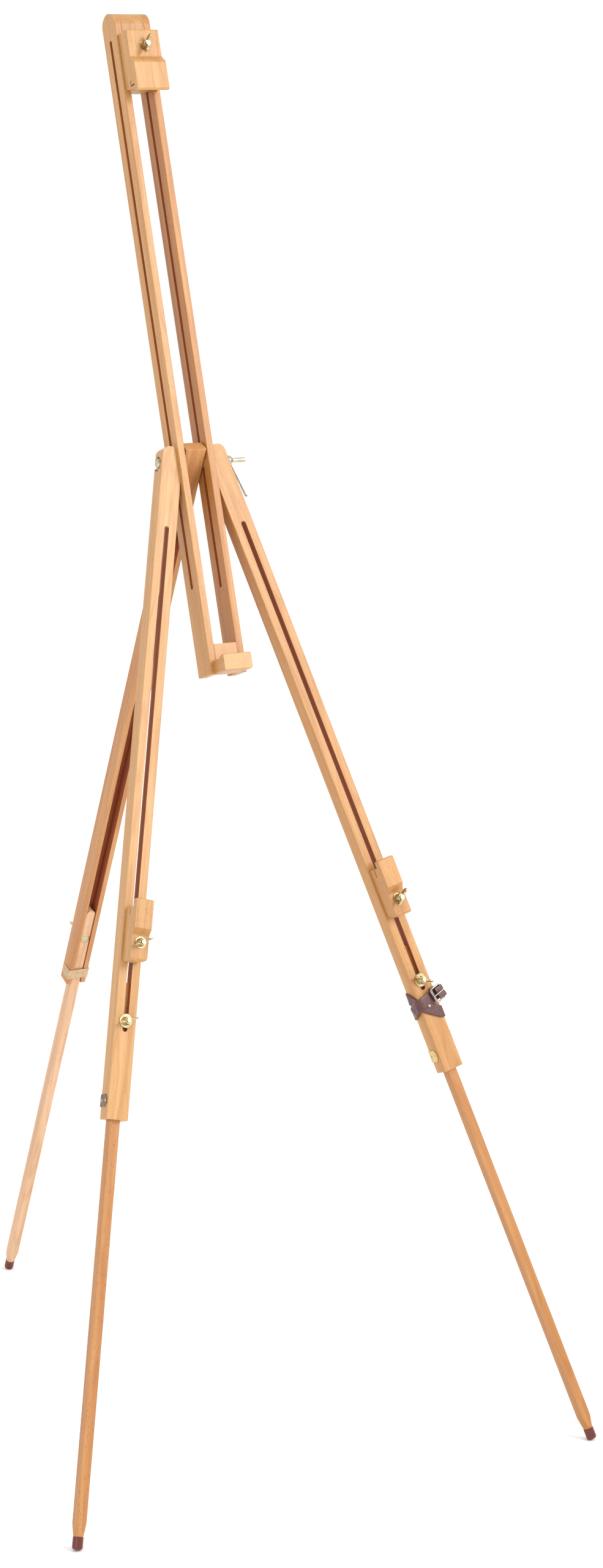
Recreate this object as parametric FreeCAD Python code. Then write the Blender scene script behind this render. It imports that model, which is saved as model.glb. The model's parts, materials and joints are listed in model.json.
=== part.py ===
"""Folding field easel in beech, standing on three telescopic legs.

All sizes are in millimetres and degrees. +X is the easel's right seen from the front, +Y is the rear and +Z
is up. The origin is on the floor, at the centre of the rectangle that the three feet span.

Four members meet on one pivot bolt that lies along X: a mast of two slotted rails, two front legs outside
the rails and a rear leg between them. Each member is built in its own frame and then placed:
  mast frame   origin on the bolt axis, z up along the mast, y towards its back
  leg frame    origin at the bend of the left leg's inner edge, x = 0 on the inner edge and -leg_width on the
               outer edge, z up along the leg, y towards its back; the right leg is the mirror image
  rear frame   origin on the bolt axis, z up along the leg, y towards its back
"""
import FreeCAD, Part
import math
import os
from FreeCAD import Placement, Rotation, Vector

# ---- stance ----
mast_lean = 17.7          # mast and front legs lie in one plane, leaning back from the vertical
leg_splay = 14.4          # each front leg turns out by this much inside that plane
rear_angle = 25.6         # rear leg back from the vertical

# ---- mast ----
mast_length = 900.0
mast_above_pivot = 613.0
mast_width = 53.0
rail_thick = 10.0
rail_deep = 38.0
rail_slot_width = 6.6
rail_slot_top = 577.0
rail_slot_bottom = -170.0
top_block_height = 29.0
head_half_width = 20.5    # bottom block's head, in front of the rails
head_forward = 29.5
head_height = 22.0
block_back = -9.0         # the block leaves the rear of the gap free, so that the rear leg nests there

# ---- legs ----
leg_width = 30.0
leg_deep = 22.0
web_thick = 6.5
leg_above_bend = 46.0
leg_below_bend = 846.0
bend_below_pivot = 28.3
front_face = -13.4        # y of the front legs' front face
slot_width = 7.0
front_slot = (-733.0, -62.7)
front_channel_top = -50.0
rear_above_pivot = 24.0
rear_below_pivot = 876.0
rear_front_face = -6.5
rear_slot = (-806.0, -95.0)
rear_channel_top = -80.0
channel_width = 15.0

# ---- telescopic inner legs ----
inner_square = 14.0
slide_play = 0.1          # between an inner leg and the web it slides on
inner_above_bolt = 50.0
front_bolt_height = -719.0
front_tip_height = -1383.0
rear_bolt_height = -795.5
taper_length = 21.0
cap_length = 16.0
cap_radius = 6.9
cap_round = 3.0
plug_radius = 5.0
plug_length = 9.0

# ---- fasteners ----
bolt_radius = 3.0
washer_radius = 9.0
washer_thick = 1.6
washer_bore = 3.2
nut_bore = 3.05
pivot_washer_radius = 8.0
head_radius = 5.6
head_height_dome = 4.0
spot_face_x = 47.7        # the seats of the two outer pivot washers
stub_end_x = 81.0
leg_washer_thick = 1.0
nut_height = 8.5
wing_reach = 13.5

# ---- canvas supports and top clamp ----
support_width = 24.0
left_support_bolt = -620.0
right_support_bolt = -604.0
shelf_deep = 20.5
lip_front = 30.5
clamp_half_width = 23.5
clamp_bolt_height = 556.5

# ---- strap ----
strap_low, strap_high = -777.0, -734.0
strap_gap = 0.4
strap_thick = 2.4

half_mast = mast_width / 2
gap_half = half_mast - rail_thick
splay = math.radians(leg_splay)
lean = math.radians(mast_lean)
channel_half = channel_width / 2
leg_mid = -leg_width / 2
inner_front = front_face + web_thick
inner_back = inner_front + inner_square
rear_inner_back = rear_front_face + leg_deep - web_thick
rear_inner_front = rear_inner_back - inner_square
X, Y, Z = Vector(1, 0, 0), Vector(0, 1, 0), Vector(0, 0, 1)


def foot_drop(tilt):
    """How far the cap's rounded rim reaches below the centre of its end face, when its axis is tilted."""
    return (cap_radius - cap_round) * math.sin(tilt) + cap_round * (1 - math.cos(tilt))


# ---- stance worked out from the legs ----
front_tilt = math.acos(math.cos(splay) * math.cos(lean))
front_tip_drop = bend_below_pivot - front_tip_height * math.cos(splay) + leg_mid * math.sin(splay)
front_tip_y = inner_front + inner_square / 2
pivot_height = front_tip_drop * math.cos(lean) + front_tip_y * math.sin(lean) + foot_drop(front_tilt)
rear_rad = math.radians(rear_angle)
rear_tip_y = (rear_inner_front + rear_inner_back) / 2
rear_tip_height = -(pivot_height + rear_tip_y * math.sin(rear_rad) - foot_drop(rear_rad)) / math.cos(rear_rad)
rim = cap_radius - cap_round
front_reach = front_tip_drop * math.sin(lean) - front_tip_y * math.cos(lean)
front_reach += rim * math.sqrt(1 - (math.cos(splay) * math.sin(lean)) ** 2) + cap_round
front_reach -= cap_round * math.cos(splay) * math.sin(lean)
rear_reach = -rear_tip_height * math.sin(rear_rad) + rear_tip_y * math.cos(rear_rad)
rear_reach += rim * math.cos(rear_rad) + cap_round * (1 - math.sin(rear_rad))
pivot_y = (front_reach - rear_reach) / 2

mast_frame = Placement(Vector(0, pivot_y, pivot_height), Rotation(X, -mast_lean))
rear_frame = Placement(Vector(0, pivot_y, pivot_height), Rotation(X, rear_angle))
bend = Placement(Vector(-half_mast, 0, -bend_below_pivot), Rotation(Y, leg_splay))
leg_frame = mast_frame.multiply(bend)


# ---- small shape helpers ----
def box(x0, x1, y0, y1, z0, z1):
    """A box between two values on each axis."""
    return Part.makeBox(x1 - x0, y1 - y0, z1 - z0, Vector(x0, y0, z0))


def rod(radius, start, direction, length):
    """A round rod from a start point along a direction."""
    return Part.makeCylinder(radius, length, start, direction)


def long_edges(shape, axis, least):
    """The straight edges that run along an axis and are at least so long."""
    chosen = []
    for edge in shape.Edges:
        if edge.Length >= least and abs(edge.tangentAt(edge.FirstParameter).dot(axis)) > 0.999:
            chosen.append(edge)
    return chosen


def eased_box(x0, x1, y0, y1, z0, z1, ease):
    """A box whose four edges along z are rounded."""
    plain = box(x0, x1, y0, y1, z0, z1)
    return plain.makeFillet(ease, long_edges(plain, Z, 1.0))


def outline(points, places):
    """A closed outline. Each point is (a, b), and (a, b, r) is a corner rounded to radius r."""
    edges = []
    ends = []
    count = len(points)
    for i, point in enumerate(points):
        here = Vector(*places(point[0], point[1]))
        before = Vector(*places(*points[i - 1][:2]))
        after = Vector(*places(*points[(i + 1) % count][:2]))
        radius = point[2] if len(point) > 2 else 0.0
        back = (before - here).normalize()
        on = (after - here).normalize()
        if radius == 0.0:
            ends.append((here, here))
            continue
        half = back.getAngle(on) / 2
        reach = radius / math.tan(half)
        bisector = (back + on).normalize()
        middle = here + bisector * (radius / math.sin(half) - radius)
        ends.append((here + back * reach, here + on * reach))
        edges.append(Part.Arc(here + back * reach, middle, here + on * reach).toShape())
    for i in range(count):
        start, finish = ends[i][1], ends[(i + 1) % count][0]
        if start.distanceToPoint(finish) > 1e-6:
            edges.append(Part.makeLine(start, finish))
    return Part.Face(Part.Wire(Part.sortEdges(edges)[0]))


def side_profile(points, x0, x1):
    """A solid with an outline in (y, z), from x0 to x1."""
    return outline(points, lambda a, b: (x0, a, b)).extrude(X * (x1 - x0))


def front_profile(points, y0, y1):
    """A solid with an outline in (x, z), from y0 to y1."""
    return outline(points, lambda a, b: (a, y0, b)).extrude(Y * (y1 - y0))


def long_slot(width, low, high, across, along):
    """A straight slot with round ends between two heights, cut along a direction from a start point."""
    radius = width / 2
    run = Vector(along).normalize()
    side = Z.cross(run)
    bottom = Vector(across) + Z * (low + radius)
    top = Vector(across) + Z * (high - radius)
    middle = Part.Face(Part.makePolygon([bottom - side * radius, bottom + side * radius, top + side * radius,
                                         top - side * radius, bottom - side * radius])).extrude(along)
    ends = [rod(radius, bottom, along, along.Length), rod(radius, top, along, along.Length)]
    return middle.fuse(ends).removeSplitter()


def ring(outer, inner, start, direction, length):
    """A flat washer or tube."""
    return rod(outer, start, direction, length).cut(rod(inner, start - direction, direction, length + 2))


def dome(radius, height, start, direction):
    """A low spherical cap standing on a flat disc."""
    ball = (radius ** 2 + height ** 2) / (2 * height)
    sphere = Part.makeSphere(ball, start + direction * (height - ball))
    return sphere.common(rod(radius + 1, start, direction, height + 1))


# ---- mast ----
brad_seats = [(-11.0, 6.0 - mast_length + mast_above_pivot), (-15.8, 6.5 - mast_length + mast_above_pivot),
              (4.3, mast_above_pivot - 11.0)]
brad_radius = 0.7
brad_depth = 16.0


def brad_rods(side):
    """The brads that hold one rail to the two blocks, driven in from the rail's outer face."""
    return [rod(brad_radius, Vector(side * (half_mast - brad_depth), y, z), X * side, brad_depth)
            for y, z in brad_seats]


def rail(side):
    """One of the two mast rails: half-round at the top, slotted at mid depth for the pivot bolt."""
    half = rail_deep / 2
    x0, x1 = sorted((side * gap_half, side * half_mast))
    top = mast_above_pivot
    low = top - mast_length
    length = eased_box(x0, x1, -half, half, low, top, 1.0)
    ends = side_profile([(-half, low, 1.5), (half, low, 4.0), (half, top, half - 0.01),
                         (-half, top, half - 0.01)], x0, x1)
    slot_start = Vector(x0 - 1, 0, 0)
    slot = long_slot(rail_slot_width, rail_slot_bottom, rail_slot_top, slot_start, X * (rail_thick + 2))
    return length.common(ends).cut(slot).cut(Part.makeCompound(brad_rods(side)))


def top_block():
    """The block glued between the rails at the top, shaped to their half-round end."""
    half = rail_deep / 2
    top = mast_above_pivot
    low = top - top_block_height
    low_y = half - 0.01
    block = side_profile([(-half, low), (half, low), (half, top, low_y), (-half, top, low_y)],
                         -gap_half, gap_half)
    return block.cut(Part.makeCompound(brad_rods(-1) + brad_rods(1)))


def bottom_block():
    """The block between the rails at the bottom, with a scooped head that stands out in front of them."""
    face = -rail_deep / 2
    low = mast_above_pivot - mast_length
    shelf = low + head_height - 4.0
    front = face - head_forward
    tongue = box(-gap_half, gap_half, face, block_back, low, low + 40.0)
    head = side_profile([(face, low), (face, shelf), (face - 15.0, shelf, 6.0),
                         (front + 5.0, low + head_height, 1.5), (front, low + head_height, 1.2),
                         (front, low, 1.5)], -head_half_width, head_half_width)
    corners = front_profile([(-head_half_width, low, 2.5), (head_half_width, low, 4.0),
                             (head_half_width, low + head_height + 1, 4.0),
                             (-head_half_width, low + head_height + 1, 2.0)], front - 1, face)
    return tongue.fuse(head.common(corners)).cut(Part.makeCompound(brad_rods(-1) + brad_rods(1)))


def mast_brads():
    """The six small steel brads."""
    return Part.makeCompound(brad_rods(-1) + brad_rods(1))


# ---- sliding top clamp ----
def clamp_head():
    """The wooden clamp: a stepped head with an undercut foot, and a tongue that runs between the rails."""
    face = -rail_deep / 2 - 0.3
    step = face - 24.5
    nose = face - 33.5
    head = side_profile([(face, 503.0), (face, 579.0, 1.0), (step, 578.5, 2.0), (step, 541.0, 3.0),
                         (nose + 1.5, 534.0, 4.0), (nose, 531.0, 1.0), (nose, 492.5, 3.5)],
                        -clamp_half_width, clamp_half_width)
    corners = front_profile([(-clamp_half_width, 490.0, 1.0), (clamp_half_width, 490.0, 6.0),
                             (clamp_half_width, 580.0, 2.5), (-clamp_half_width, 580.0, 1.0)], nose - 1, face)
    tongue = box(-gap_half + 0.3, gap_half - 0.3, face, 8.0, 506.0, 568.0)
    slit = box(-30, 30, face - 25.0, face - 14.0, 502.6, 504.8)
    upright = box(-30, 30, face - 16.2, face - 14.0, 502.6, 511.0)
    mouth = box(-30, 30, face - 24.0, face - 12.0, 480.0, 500.0)
    bolt_hole = rod(bolt_radius + 0.2, Vector(0, nose - 5, clamp_bolt_height), Y, 80)
    bar_hole = rod(bolt_radius + 0.1, Vector(-30, 0, clamp_bolt_height), X, 60)
    whole = head.common(corners).fuse(tongue)
    for cut in (slit, upright, mouth, bolt_hole, bar_hole):
        whole = whole.cut(cut)
    return whole


def clamp_cross_bar():
    """The steel bar whose ends ride in the slots of both rails; the clamp's bolt is screwed into it."""
    bar = rod(bolt_radius, Vector(-22.5, 0, clamp_bolt_height), X, 45.0)
    return bar.cut(rod(2.0, Vector(0, -10, clamp_bolt_height), Y, 20))


clamp_seat = -rail_deep / 2 - 0.3 - 24.5


def clamp_bolt():
    """The stud from the cross bar to the clamp's wing nut."""
    neck = rod(2.0, Vector(0, -2.5, clamp_bolt_height), Y, 5.0)
    shank = rod(bolt_radius, Vector(0, clamp_seat - washer_thick - 11.0, clamp_bolt_height), Y,
                11.0 + washer_thick - clamp_seat - bolt_radius - 0.1)
    return neck.fuse(shank.fuse(rod(2.0, Vector(0, -bolt_radius - 0.2, clamp_bolt_height), Y, 1.0)))


# ---- wing nuts and washers, built along -y from a seat ----
def forward_washer(x, seat, z, radius=washer_radius):
    """A washer on a seat that faces forward."""
    return ring(radius, washer_bore, Vector(x, seat, z), -Y, washer_thick)


def wing_nut():
    """A wing nut about +z, its base at z = 0: a tapered hub and two wings that rise outwards."""
    hub = Part.makeCone(6.0, 4.6, nut_height, Vector(0, 0, 0), Z)
    wing = front_profile([(2.0, 1.2), (7.0, 3.0, 3.0), (wing_reach, 6.5, 2.0), (wing_reach, 14.0, 2.2),
                          (9.5, 14.0, 2.0), (5.5, 8.0, 2.0), (2.0, 8.0)], -1.4, 1.4)
    other = wing.mirror(Vector(0, 0, 0), X)
    return hub.fuse([wing, other]).cut(rod(nut_bore, Vector(0, 0, -1), Z, 20))


def nut_facing_front(x, seat, z, turn):
    """A wing nut on a forward-facing seat, turned about its bolt."""
    return placed(wing_nut(), Placement(Vector(x, seat, z), Rotation(X, 90).multiply(Rotation(Z, turn))))


def nut_facing_back(x, seat, z, turn):
    """A wing nut on a rearward-facing seat, turned about its bolt."""
    return placed(wing_nut(), Placement(Vector(x, seat, z), Rotation(X, -90).multiply(Rotation(Z, turn))))


def placed(shape, placement):
    """The shape moved by a placement, with the move written into its geometry."""
    moved = shape.copy()
    moved.transformShape(placement.toMatrix(), True)
    return moved


# ---- pivot stack along X ----
def pivot_bolt():
    """The through bolt: a domed head on the left, a free stub past the lever nut on the right."""
    seat = -spot_face_x - washer_thick
    shank = rod(bolt_radius, Vector(seat, 0, 0), X, stub_end_x - seat - 0.8)
    tip = Part.makeCone(bolt_radius, bolt_radius - 0.8, 0.8, Vector(stub_end_x - 0.8, 0, 0), X)
    return shank.fuse([tip, dome(head_radius, head_height_dome, Vector(seat, 0, 0), -X)]).removeSplitter()


def lever_nut():
    """A domed nut with one long flat arm, used without tools to lock all four members."""
    seat = spot_face_x + washer_thick
    body = outline([(seat, 0.0), (seat, 8.2, 0.8), (seat + 6.0, 8.2, 3.0), (seat + 18.0, 5.2, 3.0),
                    (seat + 18.4, 0.0)], lambda a, b: (a, 0, b)).revolve(Vector(0, 0, 0), X, 360)
    arm = front_profile([(-3.0, 0.0, 1.5), (-2.2, -54.0, 2.1), (2.2, -54.0, 2.1), (3.0, 0.0, 1.5)], -3.2, 3.2)
    arm = arm.makeFillet(0.8, long_edges(arm, Vector(0.8, 0, -54).normalize(), 20))
    arm = placed(arm, Placement(Vector(seat + 12.0, 0, 0), Rotation(Y, -20.4)))
    return body.fuse(arm).cut(rod(nut_bore, Vector(seat - 5, 0, 0), X, 60))


def head_washer(side):
    """The washer in the spot face of one front leg, under the bolt's head or the lever nut."""
    return ring(pivot_washer_radius, washer_bore, Vector(side * spot_face_x, 0, 0), X * side, washer_thick)


def leg_washer(side):
    """The thin washer let into the inner face of one front leg, against the rail."""
    return ring(washer_radius, washer_bore, Vector(side * half_mast, 0, 0), X * side, leg_washer_thick)


def rear_washer(side):
    """The washer between the rear leg and one rail."""
    start = leg_width / 2
    return ring(washer_radius, washer_bore, Vector(side * start, 0, 0), X * side, gap_half - start)


# ---- outer legs ----
pin_radius = 1.0
pin_head = 2.0
band_height = 16.0
band_thick = 1.0
band_clip = 4.5           # the corners of a band's ends are clipped
front_band_low = 16.0 - leg_below_bend
rear_band_low = 10.0 - rear_below_pivot


def band_pins(sides, ys, z, sink):
    """Round-headed pins through a band's two ends into the leg's side walls."""
    pins = []
    for x, outward in sides:
        for y in ys:
            shank = rod(pin_radius, Vector(x - outward * sink, y, z), X * outward, sink + band_thick)
            pins.append(shank.fuse(dome(pin_head, 0.9, Vector(x + outward * band_thick, y, z), X * outward)))
    return pins


front_pin_args = ([(0.0, 1), (-leg_width, -1)], (-6.0, 4.5), front_band_low + band_height / 2, 5.5)
rear_pin_args = ([(leg_width / 2, 1), (-leg_width / 2, -1)], (-1.5, 8.5),
                 rear_band_low + band_height / 2, 5.5)


def left_outer_leg():
    """A front leg: a channel open at the back, slotted in its front web, cut to a wedge above the bend."""
    back = front_face + leg_deep
    low = -leg_below_bend
    top = leg_above_bend
    length = eased_box(-leg_width, 0, front_face, back, low, top, 1.2)
    shape = front_profile([(0, low, 1.0), (0, 0), (-top * math.tan(splay), top, 2.5), (-leg_width, top, 12.0),
                           (-leg_width, low, 1.0)], front_face, back)
    channel = box(leg_mid - channel_half, leg_mid + channel_half, inner_front - slide_play, back + 1,
                  low - 1, front_channel_top)
    slot_start = Vector(leg_mid, front_face - 1, 0)
    slot = long_slot(slot_width, front_slot[0], front_slot[1], slot_start, Y * (web_thick + 2))
    leg = length.common(shape).cut(channel).cut(slot)
    for cut in (pivot_mortise(), leg_frame_rod(9.8, -spot_face_x - 20, 20), leg_washer_seat()):
        leg = leg.cut(cut)
    return leg.cut(Part.makeCompound(band_pins(*front_pin_args)))


def leg_frame_rod(radius, x, length):
    """A rod about the bolt's axis, given from the easel's centre plane and turned into the leg frame."""
    whole = rod(radius, Vector(x, 0, 0), X, length)
    return placed(whole, bend.inverse())


def leg_washer_seat():
    """The shallow seat of the thin washer, with room for the leg to rock."""
    return leg_frame_rod(washer_radius + 0.6, -half_mast - leg_washer_thick, leg_washer_thick + 6)


def pivot_mortise():
    """The bolt's hole, flared upwards towards the outer face so that the leg can rock in beside the rails."""
    play = bolt_radius + 0.3
    x0, x1 = -leg_width - 6.0, 4.0
    pivot_x = -bend_below_pivot * math.sin(splay)
    pivot_z = bend_below_pivot * math.cos(splay)
    drop = play / math.cos(splay)
    low0 = pivot_z + (x0 - pivot_x) * math.tan(splay) - drop
    low1 = pivot_z + (x1 - pivot_x) * math.tan(splay) - drop
    high0 = bend_below_pivot + play
    high1 = max(high0, low1 + 2 * drop)
    return front_profile([(x0, low0), (x1, low1), (x1, high1), (x0, high0)], -play, play)


def rear_outer_leg():
    """The rear leg: a channel open to the front, slotted in its rear web, bored for the pivot bolt."""
    half = leg_width / 2
    back = rear_front_face + leg_deep
    low = -rear_below_pivot
    length = eased_box(-half, half, rear_front_face, back, low, rear_above_pivot, 1.2)
    ends = side_profile([(rear_front_face, low), (back, low), (back, rear_above_pivot, 7.0),
                         (rear_front_face, rear_above_pivot, 1.0)], -half, half)
    channel = box(-channel_half, channel_half, rear_front_face - 1, rear_inner_back + slide_play,
                  low - 1, rear_channel_top)
    slot = long_slot(slot_width, rear_slot[0], rear_slot[1], Vector(0, back + 1, 0), -Y * (web_thick + 2))
    leg = length.common(ends).cut(channel).cut(slot)
    leg = leg.cut(rod(nut_bore, Vector(-half - 1, 0, 0), X, leg_width + 2))
    return leg.cut(Part.makeCompound(band_pins(*rear_pin_args)))


def clipped_ends(end_y, bend_y, low):
    """The side outline of a band, with the corners of its free ends clipped."""
    inward = math.copysign(band_clip, bend_y - end_y)
    high = low + band_height
    return side_profile([(bend_y, low), (end_y + inward, low), (end_y, low + band_clip),
                         (end_y, high - band_clip), (end_y + inward, high), (bend_y, high)],
                        -2 * leg_width, 2 * leg_width)


def front_band():
    """The steel band across the open back of a front leg's channel, bent round to both side walls."""
    back = front_face + leg_deep
    low = front_band_low
    outer = box(-leg_width - band_thick, band_thick, -9.5, back + band_thick, low, low + band_height)
    outer = outer.makeFillet(1.2, [e for e in long_edges(outer, Z, 5) if e.CenterOfMass.y > back])
    band = outer.cut(box(-leg_width, 0, -12, back, low - 1, low + band_height + 1))
    band = band.common(clipped_ends(-9.5, back + band_thick, low))
    return band.cut(Part.makeCompound(band_pins(*front_pin_args)))


def rear_band():
    """The band across the open front of the rear leg's channel."""
    half = leg_width / 2
    low = rear_band_low
    outer = box(-half - band_thick, half + band_thick, rear_front_face - band_thick, 12.5,
                low, low + band_height)
    outer = outer.makeFillet(0.9, [e for e in long_edges(outer, Z, 5) if e.CenterOfMass.y < rear_front_face])
    band = outer.cut(box(-half, half, rear_front_face, 14, low - 1, low + band_height + 1))
    band = band.common(clipped_ends(12.5, rear_front_face - band_thick, low))
    return band.cut(Part.makeCompound(band_pins(*rear_pin_args)))


# ---- inner legs ----
def inner_leg(x, y, bolt_z, tip_z):
    """A square inner leg with a rounded top, turned down to a round end for its foot cap."""
    half = inner_square / 2
    top = bolt_z + inner_above_bolt
    shoulder = tip_z + cap_length
    body = eased_box(x - half, x + half, y - half, y + half, shoulder, top, 0.9)
    crown = front_profile([(x - half, shoulder), (x + half, shoulder), (x + half, top, half - 0.01),
                           (x - half, top, half - 0.01)], y - half, y + half)
    wide = half * 1.45
    cone = Part.makeCone(cap_radius - 0.5, wide, taper_length, Vector(x, y, shoulder), Z)
    above = rod(wide, Vector(x, y, shoulder + taper_length), Z, top - shoulder)
    body = body.common(crown).common(cone.fuse(above))
    plug = rod(plug_radius, Vector(x, y, shoulder - plug_length), Z, plug_length + 1)
    return body.fuse(plug).cut(rod(bolt_radius + 0.1, Vector(x, y - 20, bolt_z), Y, 40))


def foot_cap(x, y, tip_z):
    """The moulded cap on the foot: round, with a soft rim below."""
    body = rod(cap_radius, Vector(x, y, tip_z), Z, cap_length)
    low_rim = [e for e in body.Edges if e.Length > 10 and abs(e.CenterOfMass.z - tip_z) < 0.1]
    body = body.makeFillet(cap_round, low_rim[:1])
    high_rim = [e for e in body.Edges if abs(e.CenterOfMass.z - tip_z - cap_length) < 0.1]
    body = body.makeFillet(0.7, high_rim[:1])
    return body.cut(rod(plug_radius, Vector(x, y, tip_z + cap_length - plug_length), Z, plug_length + 1))


def slide_bolt(x, head_y, out, z, seat_y):
    """A round-headed bolt: head at head_y, shank along out to 10 mm past the washer on the seat."""
    length = abs(seat_y - head_y) + washer_thick + 10.0
    shank = rod(bolt_radius, Vector(x, head_y, z), out, length)
    return shank.fuse(dome(6.6, 2.6, Vector(x, head_y, z), -out))


# ---- canvas supports ----
def canvas_support(bolt_z):
    """A support on a front leg: a shelf with a lip, and a lower face set back for the wing nut."""
    half = support_width / 2
    back = front_face - 0.3
    front = front_face - lip_front
    recess = front_face - 24.5
    shelf = bolt_z + 46.0
    low = bolt_z - 24.0
    body = side_profile([(back, low, 1.0), (back, shelf), (front_face - shelf_deep, shelf, 1.0),
                         (front_face - shelf_deep, shelf + 10.0, 1.5), (front, shelf + 10.0, 2.0),
                         (front, bolt_z + 18.0, 1.0), (recess, bolt_z + 9.8, 5.0), (recess, low, 3.5)],
                        leg_mid - half, leg_mid + half)
    corners = front_profile([(leg_mid - half, low, 2.0), (leg_mid + half, low, 6.0),
                             (leg_mid + half, shelf + 10.0, 2.0), (leg_mid - half, shelf + 10.0, 1.0)],
                            front - 1, back)
    slit = box(-40, 10, front_face - 12.6, front_face - 10.6, shelf - 11.0, shelf + 1)
    hole = rod(bolt_radius + 0.2, Vector(leg_mid, front - 5, bolt_z), Y, 60)
    return body.common(corners).cut(slit).cut(hole)


def support_bolt(bolt_z):
    """The support's bolt: a thin flat head inside the channel, shank forward through the slot."""
    head = rod(6.4, Vector(leg_mid, inner_front, bolt_z), Y, 2.4)
    shank = rod(bolt_radius, Vector(leg_mid, inner_front + 1, bolt_z), -Y,
                1 + web_thick + 24.5 + washer_thick + 10.5)
    return head.fuse(shank)


# ---- leather strap on the right leg, in the left leg's frame before mirroring ----
buckle_x, buckle_z = -28.5, -744.0
buckle_turn = -78.0       # the strap runs outwards through the buckle, 12 degrees above level
buckle_half_width, buckle_half_height = 10.0, 7.5
buckle_y = front_face - strap_gap - 2 * strap_thick - 3.4
wire = 1.2
wire_play = 0.05
rivet_x, rivet_z = -11.5, -755.0
rivet_radius = 1.1
buckle_place = Placement(Vector(buckle_x, buckle_y, buckle_z), Rotation(Y, buckle_turn))


def strap_rivet():
    """The small domed rivet through the strap's turned-back end."""
    face = front_face - strap_gap - 2 * strap_thick
    shank = rod(rivet_radius, Vector(rivet_x, face + 3.0, rivet_z), -Y, 3.0)
    return shank.fuse(dome(2.0, 0.9, Vector(rivet_x, face, rivet_z), -Y))


def strap():
    """The leather strap wound round the leg, as one plain band."""
    gap = strap_gap
    out = strap_gap + 2 * strap_thick
    back = front_face + leg_deep
    outer = eased_box(-leg_width - out, out, front_face - out, back + out, strap_low, strap_high, 3.0)
    inside = eased_box(-leg_width - gap, gap, front_face - gap, back + gap,
                       strap_low - 1, strap_high + 1, 1.0)
    return outer.cut(inside).cut(strap_rivet())


def buckle_frame():
    """The buckle's wire frame."""
    w, h = buckle_half_width, buckle_half_height
    corners = [Vector(a * w, 0, b * h) for a, b in ((-1, -1), (1, -1), (1, 1), (-1, 1))]
    parts = []
    for i, corner in enumerate(corners):
        along = corners[(i + 1) % 4] - corner
        parts.append(Part.makeSphere(wire, corner))
        parts.append(rod(wire, corner, along, along.Length))
    return placed(parts[0].fuse(parts[1:]), buckle_place)


def buckle_roller():
    """The roller on the buckle's lower bar, where the strap pulls over it."""
    length = 2 * buckle_half_width - 4.0
    roller = ring(2.1, wire + wire_play, Vector(-length / 2, 0, -buckle_half_height), X, length)
    return placed(roller, buckle_place)


def buckle_prong():
    """The prong: an eye round the upper bar and a pin that lies over the roller."""
    eye = ring(2.2, wire + wire_play, Vector(-1.2, 0, buckle_half_height), X, 2.4)
    start = Vector(0, -1.9, buckle_half_height - 0.6)
    tip = Vector(0, -3.2, -buckle_half_height - 2.5)
    run = tip - start
    return placed(eye.fuse([rod(0.9, start, run, run.Length), Part.makeSphere(0.9, tip)]), buckle_place)


# ---- assembly ----
def mirrored(shape):
    """The mirror image on the other side of the easel's centre plane."""
    return shape.mirror(Vector(0, 0, 0), X)


def mast_parts():
    """Everything on the mast, in the mast frame."""
    return {
        "left_rail": rail(-1),
        "right_rail": rail(1),
        "mast_top_block": top_block(),
        "mast_bottom_block": bottom_block(),
        "mast_brads": mast_brads(),
        "clamp_head": clamp_head(),
        "clamp_cross_bar": clamp_cross_bar(),
        "clamp_bolt": clamp_bolt(),
        "clamp_washer": forward_washer(0, clamp_seat, clamp_bolt_height, 6.5),
        "clamp_wing_nut": nut_facing_front(0, clamp_seat - washer_thick, clamp_bolt_height, 62.0),
        "pivot_bolt": pivot_bolt(),
        "bolt_head_washer": head_washer(-1),
        "lever_nut_washer": head_washer(1),
        "lever_nut": lever_nut(),
        "left_leg_washer": leg_washer(-1),
        "right_leg_washer": leg_washer(1),
        "rear_washer_left": rear_washer(-1),
        "rear_washer_right": rear_washer(1),
    }


def front_leg_parts(side, support_z, leg_turn, support_turn):
    """One front leg with its inner leg, support and hardware, in the left leg's frame."""
    mid_y = (inner_front + inner_back) / 2
    support_seat = front_face - 24.5
    return {
        side + "_outer_leg": left_outer_leg(),
        side + "_leg_band": front_band(),
        side + "_band_pins": Part.makeCompound(band_pins(*front_pin_args)),
        side + "_inner_leg": inner_leg(leg_mid, mid_y, front_bolt_height, front_tip_height),
        side + "_foot_cap": foot_cap(leg_mid, mid_y, front_tip_height),
        side + "_leg_bolt": slide_bolt(leg_mid, inner_back, -Y, front_bolt_height, front_face),
        side + "_slide_washer": forward_washer(leg_mid, front_face, front_bolt_height),
        side + "_wing_nut": nut_facing_front(leg_mid, front_face - washer_thick, front_bolt_height, leg_turn),
        side + "_canvas_support": canvas_support(support_z),
        side + "_support_bolt": support_bolt(support_z),
        side + "_support_washer": forward_washer(leg_mid, support_seat, support_z, 7.5),
        side + "_support_wing_nut": nut_facing_front(leg_mid, support_seat - washer_thick, support_z,
                                                     support_turn),
    }


def rear_leg_parts():
    """The rear leg with its inner leg and hardware, in the rear frame."""
    mid_y = (rear_inner_front + rear_inner_back) / 2
    back = rear_front_face + leg_deep
    washer = ring(washer_radius, washer_bore, Vector(0, back, rear_bolt_height), Y, washer_thick)
    return {
        "rear_outer_leg": rear_outer_leg(),
        "rear_leg_band": rear_band(),
        "rear_band_pins": Part.makeCompound(band_pins(*rear_pin_args)),
        "rear_inner_leg": inner_leg(0, mid_y, rear_bolt_height, rear_tip_height),
        "rear_foot_cap": foot_cap(0, mid_y, rear_tip_height),
        "rear_leg_bolt": slide_bolt(0, rear_inner_front, Y, rear_bolt_height, back),
        "rear_slide_washer": washer,
        "rear_wing_nut": nut_facing_back(0, back + washer_thick, rear_bolt_height, 25.0),
    }


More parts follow.
